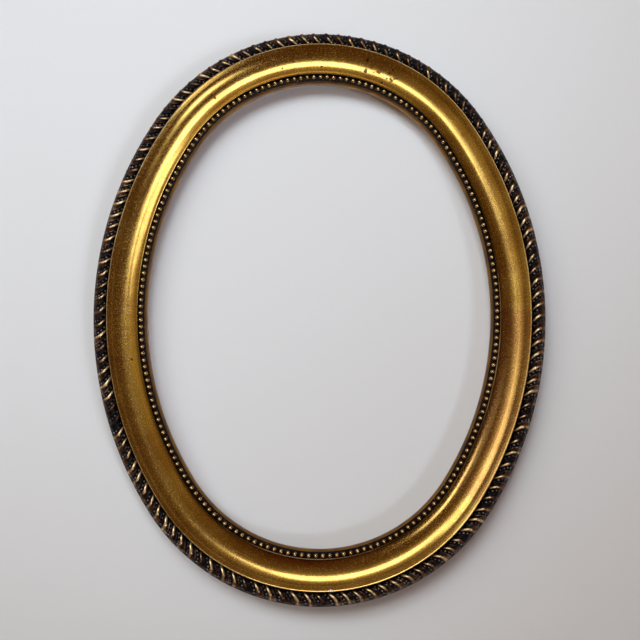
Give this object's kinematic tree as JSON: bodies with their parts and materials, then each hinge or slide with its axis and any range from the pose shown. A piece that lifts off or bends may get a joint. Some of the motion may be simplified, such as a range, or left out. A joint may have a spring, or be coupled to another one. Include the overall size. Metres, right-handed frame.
{
  "type": "oval picture frame",
  "caption": "Empty oval picture frame: gilded scooped rail with a beaded sight edge and a twisted rope edge, turn buttons round the back rebate and a hanging ring.",
  "frame": {"origin": "centre of the oval on the back plane, where the frame lies or meets the wall", "axes": "+Z out of the front face, +Y towards the frame's top, X across its width"},
  "size_m": [0.2876, 0.367, 0.021],
  "materials": {
    "gilded_wood": "metal leaf over bole and gesso on the front, bare toned wood behind",
    "compo_ornament": "pressed ornament, black patina with gold rubbed on the high places",
    "beech_dowel": "bare",
    "brassed_steel": "brass plated, dulled",
    "zinc_plated_steel": "zinc plated"
  },
  "bodies": {
    "frame": {"core_top": "gilded_wood", "core_bottom": "gilded_wood", "core_left": "gilded_wood", "core_right": "gilded_wood", "joint_dowels": "beech_dowel", "rope_strip_upper_right": "compo_ornament", "rope_strip_upper_left": "compo_ornament", "rope_strip_lower_left": "compo_ornament", "rope_strip_lower_right": "compo_ornament", "bead_strip_upper_right": "compo_ornament", "bead_strip_upper_left": "compo_ornament", "bead_strip_lower_left": "compo_ornament", "bead_strip_lower_right": "compo_ornament", "turn_button_screws": "brassed_steel", "hanger_strap": "zinc_plated_steel", "hanger_screw": "zinc_plated_steel"},
    "turn_button_right": {"turn_button_right": "brassed_steel"},
    "turn_button_upper_right": {"turn_button_upper_right": "brassed_steel"},
    "turn_button_upper_left": {"turn_button_upper_left": "brassed_steel"},
    "turn_button_left": {"turn_button_left": "brassed_steel"},
    "turn_button_lower_left": {"turn_button_lower_left": "brassed_steel"},
    "turn_button_lower_right": {"turn_button_lower_right": "brassed_steel"},
    "hanger_ring": {"hanger_ring": "zinc_plated_steel"}
  },
  "joints": [
    {"name": "button_right_turn", "type": "hinge", "parent": "frame", "child": "turn_button_right", "pos_m": [0.122, 0, 0.00335], "axis": [0, 0, 1], "range_deg": [-20, 200]},
    {"name": "button_upper_right_turn", "type": "hinge", "parent": "frame", "child": "turn_button_upper_right", "pos_m": [0.05254, 0.14757, 0.00335], "axis": [0, 0, 1], "range_deg": [-20, 200]},
    {"name": "button_upper_left_turn", "type": "hinge", "parent": "frame", "child": "turn_button_upper_left", "pos_m": [-0.05254, 0.14757, 0.00335], "axis": [0, 0, 1], "range_deg": [-20, 200]},
    {"name": "button_left_turn", "type": "hinge", "parent": "frame", "child": "turn_button_left", "pos_m": [-0.122, 0, 0.00335], "axis": [0, 0, 1], "range_deg": [-20, 200]},
    {"name": "button_lower_left_turn", "type": "hinge", "parent": "frame", "child": "turn_button_lower_left", "pos_m": [-0.05254, -0.14757, 0.00335], "axis": [0, 0, 1], "range_deg": [-20, 200]},
    {"name": "button_lower_right_turn", "type": "hinge", "parent": "frame", "child": "turn_button_lower_right", "pos_m": [0.05254, -0.14757, 0.00335], "axis": [0, 0, 1], "range_deg": [-20, 200]},
    {"name": "ring_swing", "type": "hinge", "parent": "frame", "child": "hanger_ring", "pos_m": [0, 0.16605, 0.00232], "axis": [-1, 0, 0], "range_deg": [0, 150]}
  ]
}
